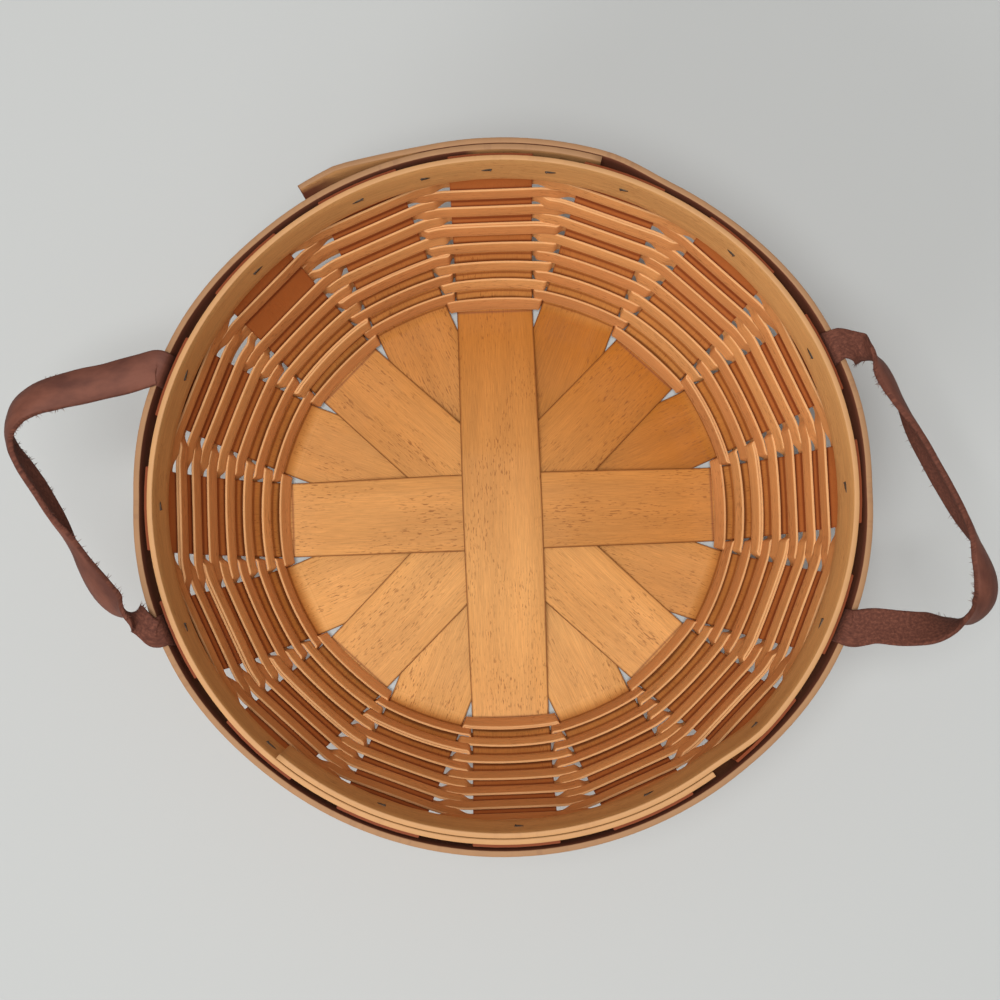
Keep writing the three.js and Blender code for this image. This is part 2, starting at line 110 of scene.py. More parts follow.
# Each handle: its bearing, the bearings of its tucked ends from there, and the strap's route from root
# to root: out from the hinge line, along it, up, and the roll in degrees
HANDLES = {
    "right_handle": (
        0.0,
        (-24.0, 22.6),
        [
            (0, -51, 0, 180),
            (9.4, -52.4, -0.4, 172),
            (17.9, -53.2, -1.5, 150),
            (25.1, -52.6, -3, 120),
            (30.8, -50.9, -4.5, 90),
            (36.9, -48.7, -6, 58),
            (41.6, -43, -7, 43),
            (42.5, -36, -7.5, 42),
            (41, -27.6, -8, 56),
            (38, -19.2, -8, 80),
            (34.1, -10.7, -8, 92),
            (26.6, 4.4, -7, 95),
            (20.2, 17.3, -5.5, 90),
            (14.6, 28.4, -3.5, 68),
            (10.6, 36, -1.5, 56),
            (6.8, 41.8, 0, 64),
            (2.8, 45.5, 0.6, 112),
            (0, 47.1, 0, 180),
        ],
    ),
    "left_handle": (
        178.65,
        (-21.65, 21.65),
        [
            (0, -45.6, 0, 0),
            (10.6, -42.9, -0.4, 0),
            (21.1, -40.8, -1.2, 0),
            (30.6, -39, -2.5, 8),
            (38.5, -37, -4, 24),
            (44.6, -33.2, -5.5, 44),
            (47.7, -26.5, -6.8, 66),
            (46.6, -19.4, -7.5, 86),
            (43.4, -13.5, -8, 98),
            (37.4, -4.1, -8, 100),
            (31, 6.6, -7.5, 94),
            (25.4, 15.3, -6.5, 76),
            (20.2, 24.8, -5, 56),
            (12.6, 33.9, -2, 48),
            (7.5, 38.2, -0.6, 60),
            (3, 41, 0.6, 108),
            (0, 42.6, 0, 180),
        ],
    ),
}

# Camera: how it stands to the basket, and the lens
CAMERA_TARGET = (-1.14, -1.77, 101.4)
CAMERA_DISTANCE = 530.2
CAMERA_TILT = 3.95
CAMERA_ROLL = 2.2
CAMERA_LENS = 55.8
CAMERA_SENSOR = 36.0

UPRIGHT_COUNT = 2 * len(STACK)
UPRIGHT_STEP = 360 / UPRIGHT_COUNT
LAYER = UPRIGHT_THICKNESS + CLEARANCE
FOOT_HEIGHT = LAYER + UPRIGHT_THICKNESS / 2
STRAPS = [turn + tuck for turn, tucks, _ in HANDLES.values() for tuck in tucks]
BEND_LENGTH = BEND_RADIUS * math.radians(WALL_FOOT_ANGLE)
WALL_START = BASE_RADIUS + BEND_LENGTH
UPRIGHT_REACH = WALL_START + WALL_LENGTH
WALL_RADIUS = WALL_LENGTH / math.radians(WALL_TOP_ANGLE - WALL_FOOT_ANGLE)
BAND_ALONG = UPRIGHT_REACH - BAND_HEIGHT / 2
INNER_BAND_OFFSET = -(UPRIGHT_THICKNESS / 2 + CLEARANCE + INNER_BAND_THICKNESS / 2)
INNER_LAYER = INNER_BAND_THICKNESS + CLEARANCE
OUTER_LAYER = OUTER_BAND_THICKNESS + CLEARANCE

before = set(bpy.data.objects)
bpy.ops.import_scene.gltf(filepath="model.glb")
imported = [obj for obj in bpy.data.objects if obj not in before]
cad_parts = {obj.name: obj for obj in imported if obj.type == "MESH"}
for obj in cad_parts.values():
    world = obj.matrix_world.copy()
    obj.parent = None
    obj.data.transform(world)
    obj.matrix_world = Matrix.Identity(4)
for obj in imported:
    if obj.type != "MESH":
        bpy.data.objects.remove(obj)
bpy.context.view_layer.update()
rng = np.random.default_rng(7)


def unit(vectors):
    return vectors / np.linalg.norm(vectors, axis=-1, keepdims=True)


def smooth(value):
    value = np.clip(value, 0, 1)
    return value * value * (3 - 2 * value)


# The wall's course


def course_at(along):
    bend = math.radians(np.clip((along - BASE_RADIUS) / BEND_LENGTH, 0, 1) * WALL_FOOT_ANGLE)
    radius = min(along, BASE_RADIUS) + BEND_RADIUS * math.sin(bend)
    height = FOOT_HEIGHT + BEND_RADIUS * (1 - math.cos(bend))
    slope = bend
    if along > WALL_START:
        slope = bend + (along - WALL_START) / WALL_RADIUS
        radius += WALL_RADIUS * (math.sin(slope) - math.sin(bend))
        height += WALL_RADIUS * (math.cos(bend) - math.cos(slope))
    return radius, height, slope


def outward(bearing):
    return np.array([math.cos(math.radians(bearing)), math.sin(math.radians(bearing)), 0.0])


def wall_frame(along, bearing):
    """Centre, and unit vectors along the rim, up the slope and square to the wall, inwards."""
    radius, height, slope = course_at(along)
    out = outward(bearing)
    rise = np.array([0.0, 0.0, 1.0])
    up = out * math.cos(slope) + rise * math.sin(slope)
    inward = -out * math.sin(slope) + rise * math.cos(slope)
    return out * radius + rise * height, outward(bearing + 90), up, inward


def upright_width(along):
    return UPRIGHT_WIDTH + (UPRIGHT_TIP_WIDTH - UPRIGHT_WIDTH) * along / UPRIGHT_REACH


# Meshes

FULL_ROUND = 0.49  # the largest corner, to a strip's thickness
GRAIN_SHIFT = 13.7  # between the seeds, so that no two pieces have the same grain
WEAVER_SEED = 20
INNER_BAND_SEED = 41
OUTER_BAND_SEED = 43
STRAP_SEEDS = {"right_handle": 60.0, "left_handle": 77.865}
PLAIN_TONE = 0.5  # between a wood's low and high colours


def section_points(corner_steps=3, face_steps=4):
    """A rounded oblong as rows of (side, face, corner side, corner face), anticlockwise."""
    rows = []
    for quarter, (side, face) in enumerate([(1, 1), (-1, 1), (-1, -1), (1, -1)]):
        for step in range(corner_steps):
            angle = math.radians(90 * (quarter + step / (corner_steps - 1)))
            rows.append((side, face, math.cos(angle), math.sin(angle)))
        if quarter in (0, 2):
            for step in range(1, face_steps):
                share = side * (1 - 2 * step / face_steps)
                rows.append((share, face, 0.0, face))
    return np.array(rows)


def shaped(points):
    """Points in metres, drawn in to the bowl's slight oval."""
    return np.asarray(points, float) * (MM, MM * ROUNDNESS, MM)


def sweep(
    name, centres, across, out, width, thickness, corner, tone, seed, stain_and_shade=0.0, cup=0.0, crevice_shade=0.0
):
    """A closed strip through rounded sections, with its grain and shading on its points."""
    centres = np.asarray(centres, float)
    count = len(centres)
    width = np.broadcast_to(np.asarray(width, float), count)
    thickness = np.broadcast_to(np.asarray(thickness, float), count)
    travel = np.gradient(centres, axis=0)
    stain_and_shade = np.broadcast_to(np.asarray(stain_and_shade, float), count)
    tone = np.broadcast_to(np.asarray(tone, float), count)
    cup = np.broadcast_to(np.asarray(cup, float), count)
    crevice_shade = np.broadcast_to(np.asarray(crevice_shade, float), (count, 2))
    if np.sum(np.cross(across, out) * travel) < 0:
        centres, across, out = centres[::-1], across[::-1], out[::-1]
        width, thickness, stain_and_shade = width[::-1], thickness[::-1], stain_and_shade[::-1]
        tone, cup, crevice_shade = tone[::-1], cup[::-1], crevice_shade[::-1]
    radius = np.minimum(corner, FULL_ROUND * thickness)[:, None]
    rows = section_points()
    sides = rows[:, 0] * (width[:, None] / 2 - radius) + rows[:, 2] * radius
    faces = rows[:, 1] * (thickness[:, None] / 2 - radius) + rows[:, 3] * radius
    share = sides / (width[:, None] / 2)
    stands = faces + cup[:, None] * share**2
    points = centres[:, None] + across[:, None] * sides[..., None] + out[:, None] * stands[..., None]
    ring = len(rows)
    index = np.arange(count * ring).reshape(count, ring)
    after = np.roll(index, -1, axis=1)
    quads = np.stack([index[:-1], after[:-1], after[1:], index[1:]], axis=-1).reshape(-1, 4)
    length = np.concatenate([[0], np.cumsum(np.linalg.norm(np.diff(centres, axis=0), axis=1))])
    grain = np.zeros((count, ring, 3))
    grain[..., 0] = length[:, None]
    grain[..., 1] = sides
    grain[..., 2] = seed * GRAIN_SHIFT
    mesh = bpy.data.meshes.new(name)
    mesh.from_pydata(
        shaped(points.reshape(-1, 3)).tolist(),
        [],
        quads.tolist() + [index[0, ::-1].tolist(), index[-1].tolist()],
    )
    smooth_faces = np.ones(len(mesh.polygons), bool)
    smooth_faces[-2:] = False
    mesh.polygons.foreach_set("use_smooth", smooth_faces)
    put(mesh, "grain", "FLOAT_VECTOR", grain.reshape(-1, 3))
    put(mesh, "face", "FLOAT", (faces / (thickness[:, None] / 2)).ravel())
    put(mesh, "edge", "FLOAT", np.abs(share).ravel())
    put(mesh, "tone", "FLOAT", np.repeat(tone, ring))
    # staining and painted shade, on each point
    put(mesh, "stain_and_shade", "FLOAT", np.repeat(stain_and_shade, ring))
    # painted shade in crevices, on the inner and the outer face
    put(mesh, "crevice_shade", "FLOAT", np.where(faces > 0, crevice_shade[:, :1], crevice_shade[:, 1:]).ravel())
    piece = bpy.data.objects.new(name, mesh)
    bpy.context.scene.collection.objects.link(piece)
    return piece


def put(mesh, name, kind, values):
    attribute = mesh.attributes.new(name, kind, "POINT")
    key = "vector" if kind == "FLOAT_VECTOR" else "value"
    attribute.data.foreach_set(key, np.asarray(values, np.float32).ravel())


def settle(piece, material, slot, *nodes):
    """The piece takes a material and stands for CAD nodes of the basket, which are hidden. Its slot is
    not used.
    """
    piece.data.materials.append(material)
    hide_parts(*nodes)


# Materials

# How often a pattern repeats, per millimetre along and across a strip, and from strip to strip
BROAD_GRAIN = (0.012, 0.09, 1.0)
STREAK_GRAIN = (0.02, 0.9, 1.0)
FINE_GRAIN = (0.12, 5.0, 1.0)
FLECK_GRAIN = (0.36, 1.7, 1.0)
FLECK_PATCHES = (0.03, 0.08, 2.0)
NAP_GRAIN = (0.9, 1.1, 1.0)
CLOUD_GRAIN = (0.06, 0.12, 1.0)
RUST_GRAIN = (900.0, 900.0, 900.0)  # per metre, all ways
# What a pattern's values become: places on a ramp and their greys
BROAD_LIGHT = ((0.38, 0.9), (0.62, 1.04))
FINE_LIGHT = ((0.36, 0.84), (0.64, 1.08))
STREAK_STRENGTH = ((0.35, 0.0), (0.75, 1.0))
FLECK_STRENGTH = ((0.575, 0.0), (0.67, 1.0))
FLECK_PLACES = ((0.44, 0.12), (0.6, 1.0))
SMOOTH_SIDE = ((0.6, 0.0), (0.95, 1.0))
LEATHER_ROUGHNESS = ((0.0, 0.9), (1.0, 0.68))
STREAK_SHARE = 0.22
PAINTED_EDGE_SHARE = 0.75  # of the edge colour on a strip's edges: painted highlight on the weavers, painted shade on the uprights
PAINTED_EDGE_FULL = 0.99  # of a strip's half width, where the painted edge colour is full


def nodes_for(name):
    material = bpy.data.materials.new(name)
    material.use_nodes = True
    tree = material.node_tree
    return material, tree, tree.nodes["Principled BSDF"]


def add(tree, kind, inputs=None, **settings):
    node = tree.nodes.new(kind)
    for key, value in settings.items():
        setattr(node, key, value)
    for key, value in (inputs or {}).items():
        if isinstance(value, bpy.types.NodeSocket):
            tree.links.new(value, node.inputs[key])
        else:
            node.inputs[key].default_value = value
    return node


def srgb(red, green, blue):
    def linear(value):
        value /= 255
        return value / 12.92 if value <= 0.04045 else ((value + 0.055) / 1.055) ** 2.4

    return (linear(red), linear(green), linear(blue), 1.0)


def attribute(tree, name, output):
    return add(tree, "ShaderNodeAttribute", attribute_name=name).outputs[output]


def stretched(tree, vector, scale):
    """The grain's coordinates, stretched along the grain."""
    mapping = add(tree, "ShaderNodeMapping", {"Vector": vector, "Scale": scale})
    return mapping.outputs["Vector"]


def noise(tree, vector, detail=3.0, roughness=0.55, distortion=0.0):
    inputs = {"Vector": vector, "Scale": 1.0, "Detail": detail, "Roughness": roughness}
    inputs["Distortion"] = distortion
    return add(tree, "ShaderNodeTexNoise", inputs).outputs["Fac"]


def ramp(tree, fac, stops):
    node = add(tree, "ShaderNodeValToRGB", {"Fac": fac})
    elements = node.color_ramp.elements
    while len(elements) < len(stops):
        elements.new(0.5)
    for element, (place, colour) in zip(elements, stops):
        element.position = place
        element.color = colour
    return node.outputs["Color"]


def grey(value):
    return (value, value, value, 1.0)


def grey_ramp(tree, fac, stops):
    return ramp(tree, fac, [(place, grey(value)) for place, value in stops])


def mix(tree, fac, a, b, blend="MIX"):
    node = add(tree, "ShaderNodeMix", data_type="RGBA", blend_type=blend)
    for socket, value in ((node.inputs[0], fac), (node.inputs[6], a), (node.inputs[7], b)):
        if isinstance(value, bpy.types.NodeSocket):
            tree.links.new(value, socket)
        else:
            socket.default_value = value
    return node.outputs[2]


def wood(name, low, high, streak, fleck, edge, dark, fleck_share, roughness, painted_edge_from):
    """Splint with streaks, fine grain and short dark flecks; a colour painted on its edges (painted
    highlight on the weavers, painted shade on the uprights); staining and painted shade; painted shade
    in crevices.
    """
    material, tree, shader = nodes_for(name)
    grain = attribute(tree, "grain", "Vector")
    tone = attribute(tree, "tone", "Fac")
    broad = noise(tree, stretched(tree, grain, BROAD_GRAIN), 3.0)
    streaks = noise(tree, stretched(tree, grain, STREAK_GRAIN), 4.0, 0.6, 0.3)
    fine = noise(tree, stretched(tree, grain, FINE_GRAIN), 3.0, 0.6)
    spots = noise(tree, stretched(tree, grain, FLECK_GRAIN), 2.0, 0.5)
    patches = noise(tree, stretched(tree, grain, FLECK_PATCHES), 2.0)
    base = mix(tree, tone, low, high)
    stain_and_shade = attribute(tree, "stain_and_shade", "Fac")
    streaky = grey_ramp(tree, streaks, STREAK_STRENGTH)
    colour = mix(tree, add_share(tree, streaky, STREAK_SHARE), base, streak)
    broad_light = grey_ramp(tree, broad, BROAD_LIGHT)
    colour = mix(tree, 1.0, colour, broad_light, "MULTIPLY")
    fine_light = grey_ramp(tree, fine, FINE_LIGHT)
    colour = mix(tree, 1.0, colour, fine_light, "MULTIPLY")
    flecks = grey_ramp(tree, spots, FLECK_STRENGTH)
    where = grey_ramp(tree, patches, FLECK_PLACES)
    flecks = mix(tree, 1.0, flecks, where, "MULTIPLY")
    colour = mix(tree, add_share(tree, flecks, fleck_share), colour, fleck)
    # the edge colour painted on a strip's edges: painted highlight on the weavers, painted shade along
    # the uprights
    painted_edge = grey_ramp(tree, attribute(tree, "edge", "Fac"), ((painted_edge_from, 0.0), (PAINTED_EDGE_FULL, 1.0)))
    colour = mix(tree, add_share(tree, painted_edge, PAINTED_EDGE_SHARE), colour, edge)
    # staining and painted shade: painted shade up the wall and in the rim's gap, a little soiling
    # there, and the darker end grain
    colour = mix(tree, stain_and_shade, colour, dark)
    # painted shade in crevices, and at the uprights' tops
    colour = mix(tree, attribute(tree, "crevice_shade", "Fac"), colour, CREVICE_SHADE_COLOUR)
    tree.links.new(colour, shader.inputs["Base Color"])
    shader.inputs["Roughness"].default_value = roughness
    shader.inputs["Specular IOR Level"].default_value = 0.18
    bump = add(tree, "ShaderNodeBump", {"Height": fine, "Strength": 0.25, "Distance": 0.0002})
    tree.links.new(bump.outputs["Normal"], shader.inputs["Normal"])
    return material


def add_share(tree, colour, share):
    """A grey value turned down to a share of itself."""
    return grey_ramp(tree, colour, ((0.0, 0.0), (1.0, share)))


def strap_leather(name):
    """Smooth brown leather on the grain side, and a duller nap on the flesh side and the edges."""
    material, tree, shader = nodes_for(name)
    grain = attribute(tree, "grain", "Vector")
    smooth_side = grey_ramp(tree, attribute(tree, "face", "Fac"), SMOOTH_SIDE)
    nap = noise(tree, stretched(tree, grain, NAP_GRAIN), 5.0, 0.65)
    cloud = noise(tree, stretched(tree, grain, CLOUD_GRAIN), 3.0)
    flesh = ramp(
        tree,
        nap,
        [(0.3, srgb(70, 38, 29)), (0.5, srgb(90, 51, 39)), (0.72, srgb(116, 70, 54))],
    )
    top = ramp(tree, cloud, [(0.35, srgb(80, 44, 34)), (0.65, srgb(110, 65, 50))])
    colour = mix(tree, smooth_side, flesh, top)
    tree.links.new(colour, shader.inputs["Base Color"])
    rough = grey_ramp(tree, smooth_side, LEATHER_ROUGHNESS)
    tree.links.new(rough, shader.inputs["Roughness"])
    shader.inputs["Specular IOR Level"].default_value = 0.25
    bump = add(tree, "ShaderNodeBump", {"Height": nap, "Strength": 0.35, "Distance": 0.0004})
    tree.links.new(bump.outputs["Normal"], shader.inputs["Normal"])
    return material


def metal(name):
    material, tree, shader = nodes_for(name)
    place = add(tree, "ShaderNodeTexCoord").outputs["Object"]
    rust = noise(tree, stretched(tree, place, RUST_GRAIN), 4.0)
    colour = ramp(tree, rust, [(0.35, srgb(48, 42, 38)), (0.7, srgb(92, 76, 64))])
    tree.links.new(colour, shader.inputs["Base Color"])
    shader.inputs["Metallic"].default_value = 0.8
    shader.inputs["Roughness"].default_value = 0.5
    return material


# the colour of the painted shade beside and under the weavers and at the uprights' tops
CREVICE_SHADE_COLOUR = srgb(104, 38, 14)
UPRIGHT_WOOD = wood(
    "upright_wood",
    low=srgb(164, 95, 8),
    high=srgb(223, 164, 96),
    streak=srgb(186, 120, 52),
    fleck=srgb(112, 58, 20),
    # painted shade along each upright's edges, where the strips lie on each other
    edge=srgb(104, 54, 20),
    # the colour of the painted shade up the wall
    dark=srgb(166, 90, 43),
    fleck_share=0.6,
    roughness=0.58,
    painted_edge_from=0.948,
)
WEAVER_WOOD = wood(
    "weaver_wood",
    low=srgb(196, 131, 77),
    high=srgb(216, 157, 96),
    streak=srgb(186, 114, 62),
    fleck=srgb(120, 66, 32),
    # painted highlight on the weavers' edges
    edge=srgb(222, 172, 118),
    dark=srgb(120, 66, 32),
    fleck_share=0.5,
    roughness=0.58,
    painted_edge_from=0.84,
)
RIM_WOOD = wood(
    "rim_wood",
    low=srgb(190, 138, 82),
    high=srgb(206, 158, 100),
    streak=srgb(172, 116, 62),
    fleck=srgb(130, 78, 40),
    edge=srgb(188, 142, 98),
    # the colour of the painted shade in the rim's gap, which is also a little dirty, and at the band's
    # ends
    dark=srgb(100, 54, 40),
    fleck_share=0.4,
    roughness=0.55,
    painted_edge_from=0.955,
)
OUTER_RIM_WOOD = wood(
    "outer_rim_wood",
    low=srgb(172, 124, 76),
    high=srgb(186, 138, 88),
    streak=srgb(150, 100, 58),
    fleck=srgb(110, 66, 36),
    edge=srgb(150, 114, 84),
    # the colour of the painted shade in the rim's gap, which is also a little dirty, and at the free
    # end's tip, and of the darker end grain
    dark=srgb(100, 54, 40),
    fleck_share=0.6,
    roughness=0.6,
    painted_edge_from=0.9,
)
LEATHER = strap_leather("strap_leather")
TACK_METAL = metal("tack_metal")


# Where the weavers run

LOOK_WIDTH = 6.1
ROW_WANDER = 0.3
WANDER_WAVES = 3
COMMON_WANDER = 1.2  # of all rows together, at the top one
COMMON_DIP = 0.3
RIPPLE = 0.25
RIPPLE_COUNT = 3
RIPPLE_TURN = 0.4
PASS_WANDER = 0.3
LOWEST = 0.3  # above the solids' lowest row, so that the basket stands on its strips
LAP_PASSES = 3
PASSES = UPRIGHT_COUNT + LAP_PASSES
MISSED_PASS = (10, 6)  # row and upright where a weaver stays outside


def row_along(row):
    return BASE_RADIUS + FIRST_ROW + WEAVER_WIDTH / 2 + row * (WEAVER_WIDTH + ROW_GAP)


def row_start(row):
    return LAP_UPRIGHT + row * LAP_SHIFT - 1


def is_inside(row, number):
    """Whether a row's pass, counted from its start, lies inside its upright."""
    missed = (row, (row_start(row) + number) % UPRIGHT_COUNT) == MISSED_PASS
    return number % 2 == 1 and not missed


def common_wander(bearing):
    """The rows are not quite level: how far the top one rises."""
    turn = math.radians(bearing)
    ripple = RIPPLE * math.sin(turn * RIPPLE_COUNT + RIPPLE_TURN)
    return COMMON_WANDER * (max(0, -math.sin(turn)) ** 2 - COMMON_DIP + ripple)


def row_levels(row):
    """Where a row crosses each upright it passes, along the upright."""
    wander = rng.uniform(0, 2 * math.pi, WANDER_WAVES)
    levels = []
    for number in range(PASSES):
        bearing = (row_start(row) + number) * UPRIGHT_STEP
        waves = [math.sin(math.radians(bearing) * (k + 1) + wander[k]) for k in range(len(wander))]
        level = row_along(row) + ROW_WANDER * sum(waves) / len(waves)
        level += row / (ROW_COUNT - 1) * common_wander(bearing)
        level += rng.uniform(-PASS_WANDER, PASS_WANDER)
        levels.append(max(level, row_along(0) + LOWEST))
    return levels


LEVELS = [row_levels(row) for row in range(ROW_COUNT)]


def rows_over(index, inside):
    """Levels of the weavers that lie inside or outside an upright, counted from the right handle."""
    levels = []
    for row in range(ROW_COUNT):
        number = (index - row_start(row)) % UPRIGHT_COUNT
        if is_inside(row, number) == inside:
            levels.append(LEVELS[row][number])
    return np.array(levels)


# Uprights

FLOOR_START = 1.0  # from the floor's middle to where each half of a strip starts
FLOOR_STEPS = 44
EDGE_STEPS = 7
BEND_STEPS = 24
BEND_START = 0.04
WALL_STEPS = 230
FLOOR_EASE = 4.0  # over which a strip's bend on the floor is rounded
EASE_STEPS = 5
UPRIGHT_CORNER = 0.32
WALL_PAINTED_SHADE = 0.85  # painted shade: how dark the uprights are painted up the wall, where the spaces between the rows lie in shade
FOOT_DARK = 0.2  # share of that darkening at the foot of the wall
WALL_DARK_LENGTH = 62.0
TOP_PALE = 0.1  # share of it that the uprights' tops lack
TOP_PALE_LENGTH = 8.0
PAINTED_SHEEN_FADE_WAY = np.array([0.42, 0.91, 0.0])  # painted sheen: the floor's strips are painted more golden this way, and paler, as in a sheen, the other way
FLOOR_TONE = 0.66
SHEEN_TONE_FALL = 0.7  # of the painted sheen, from the floor's middle to its edge, that way
WALL_TONE = 0.5
TONE_WANDER = 0.15
CUP_FADE = 62.0  # up the wall, over which the uprights flatten
CUP_RIM = 168.0  # along the upright, where it starts to follow the bands' round
CUP_RISE = 14.0
CREVICE_SHADE_DEPTH = (0.62, 0.95)  # painted shade: how dark an upright is painted right beside a weaver, at its foot and its top
CREVICE_SHADE_WIDTH = (0.5, 1.15)  # of the painted shade line, at the foot and the top
SHADE_FOOT = 2.0  # below a weaver to the painted shade line under it, at the foot of the wall
SHADE_TOP = 2.9
TOP_SHADE = 0.85  # painted shade: how dark the uprights' tops are painted, between the bands


def cup_at(along):
    """How far an upright's edges stand in from its middle, where it follows the bowl's round."""
    bent = smooth((along - BASE_RADIUS) / BEND_LENGTH)
    flat = smooth((along - WALL_START) / CUP_FADE) - smooth((along - CUP_RIM) / CUP_RISE)
    return bent * (1 - flat) * (upright_width(along) / 2) ** 2 / (2 * course_at(along)[0])


def crevice_shade_at(away, along):
    """How dark the painted shade is on an upright at a distance from a painted shade line."""
    climb = (along - BASE_RADIUS) / WALL_LENGTH
    depth = np.interp(climb, (0, 1), CREVICE_SHADE_DEPTH)
    return depth * math.exp(-((away / np.interp(climb, (0, 1), CREVICE_SHADE_WIDTH)) ** 2))


def crevice_shade_beside(levels, along):
    """Painted shade: how dark an upright is where a weaver lies on it or close by."""
    beside = max(np.min(np.abs(levels - along)) - LOOK_WIDTH / 2, 0)
    return crevice_shade_at(beside, along)


def floor_level(order, along):
    _, level, settled, edge = STACK[order]
    fall = np.clip((along / UPRIGHT_WIDTH - level) / (settled - level), 0, 1)
    rise = np.clip((along - BASE_RADIUS + EDGE_RISE) / EDGE_RISE, 0, 1)
    own = order + (edge - order) * fall
    return own + (1 - own) * rise


def upright(order):
    turn = STACK[order][0]
    stops = np.concatenate(
        [
            np.linspace(FLOOR_START, BASE_RADIUS - SHADE_FOOT, FLOOR_STEPS),
            BASE_RADIUS + SHADE_FOOT * np.linspace(-1, 0, EDGE_STEPS)[1:],
            BASE_RADIUS + BEND_LENGTH * np.linspace(BEND_START, 1, BEND_STEPS),
            np.linspace(WALL_START, UPRIGHT_REACH - UPRIGHT_DROP, WALL_STEPS)[1:],
        ]
    )
    half = []
    for bearing, sign in ((turn + 180, -1), (turn, 1)):
        rows = []
        index = round(bearing / UPRIGHT_STEP) % UPRIGHT_COUNT
        levels = rows_over(index, True)
        behind = rows_over(index, False)
        for along in stops:
            centre, across, _, inward = wall_frame(along, bearing)
            if along < BASE_RADIUS:
                around = along + FLOOR_EASE * np.linspace(-0.5, 0.5, EASE_STEPS)
                level = np.mean([floor_level(order, abs(place)) for place in around])
                centre[2] = LAYER * level + UPRIGHT_THICKNESS / 2
            # Painted shade up the wall: the uprights are painted a little darker on the bend, more up
            # the wall, and a little less at their tops.
            darkened = FOOT_DARK * smooth((along - BASE_RADIUS) / BEND_LENGTH)
            darkened += (1 - FOOT_DARK) * smooth((along - WALL_START) / WALL_DARK_LENGTH)
            paled = TOP_PALE * (1 - smooth((UPRIGHT_REACH - along) / TOP_PALE_LENGTH))
            # Painted shade: dark lines beside each weaver, a shade line under each, and dark tops
            # between the bands
            crevice_shade = crevice_shade_beside(levels, along)
            below = SHADE_FOOT + (SHADE_TOP - SHADE_FOOT) * (along - BASE_RADIUS) / WALL_LENGTH
            shade = np.min(np.abs(levels - LOOK_WIDTH / 2 - below - along))
            crevice_shade = max(crevice_shade, crevice_shade_at(shade, along))
            top = TOP_SHADE * (1 - smooth((UPRIGHT_REACH - along) / TOP_PALE_LENGTH))
            crevice_shade = max(crevice_shade, top)
            stain_and_shade = WALL_PAINTED_SHADE * darkened * (1 - paled)
            # Painted sheen: the floor's strips are paler the further they lie against one way; up the
            # wall the tone evens out.
            tone = FLOOR_TONE - SHEEN_TONE_FALL * np.dot(centre, PAINTED_SHEEN_FADE_WAY) / BASE_RADIUS
            tone += (WALL_TONE - tone) * smooth((along - BASE_RADIUS) / BEND_LENGTH)
            size = upright_width(along)
            dark = (crevice_shade, max(crevice_shade_beside(behind, along), top))
            rows.append((centre, across * sign, inward, size, stain_and_shade, tone, cup_at(along), dark))
        half.append(rows)
    rows = half[0][::-1] + half[1]
    columns = (np.array(column) for column in zip(*rows))
    centres, across, out, width, stain_and_shade, tone, cup, crevice_shade = columns
    node = f"upright_splint_{order + 1:02d}"
    tone = np.clip(tone + rng.uniform(-TONE_WANDER, TONE_WANDER), 0, 1)
    piece = sweep(
        f"look_{node}",
        centres,
        across,
        out,
        width,
        UPRIGHT_THICKNESS,
        UPRIGHT_CORNER,
        tone,
        order,
        stain_and_shade,
        cup,
        crevice_shade,
    )
    settle(piece, UPRIGHT_WOOD, "upright_splint", node)
    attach(piece, "basket")


# Weavers

RUN_STEPS = 9
SPACE_STEPS = 12
LOOK_THICKNESS = 0.85
LOOK_CLEARANCE = 0.03
WEAVER_CORNER = 0.16
STAY_FOOT = 0.8  # share of a space over which a weaver keeps inside before it dives, at the foot
STAY_TOP = 0.55
STAY_ROWS = 6
LEAN_FOOT = 9.0  # degrees that a weaver stands steeper than the wall
LEAN_TOP = 2.0
LEAN_ROWS = 8
LEAN_WANDER = (-4.0, 1.0)  # added to that, for each pass
SAG_STEPS = 40


def sag_at(along):
    """How far a flat weaver stands off the curved wall's inner face."""
    radius, height, slope = course_at(along)
    inner = UPRIGHT_THICKNESS / 2
    stands = [0.0]
    for place in np.linspace(-WEAVER_WIDTH, WEAVER_WIDTH, SAG_STEPS + 1):
        near_radius, near_height, near_slope = course_at(along + place)
        near_radius -= inner * (math.sin(near_slope) - math.sin(slope))
        near_height += inner * (math.cos(near_slope) - math.cos(slope))
        out = near_radius - radius
        rise = near_height - height
        if abs(out * math.cos(slope) + rise * math.sin(slope)) <= WEAVER_WIDTH / 2:
            stands.append(rise * math.cos(slope) - out * math.sin(slope))
    return max(stands)


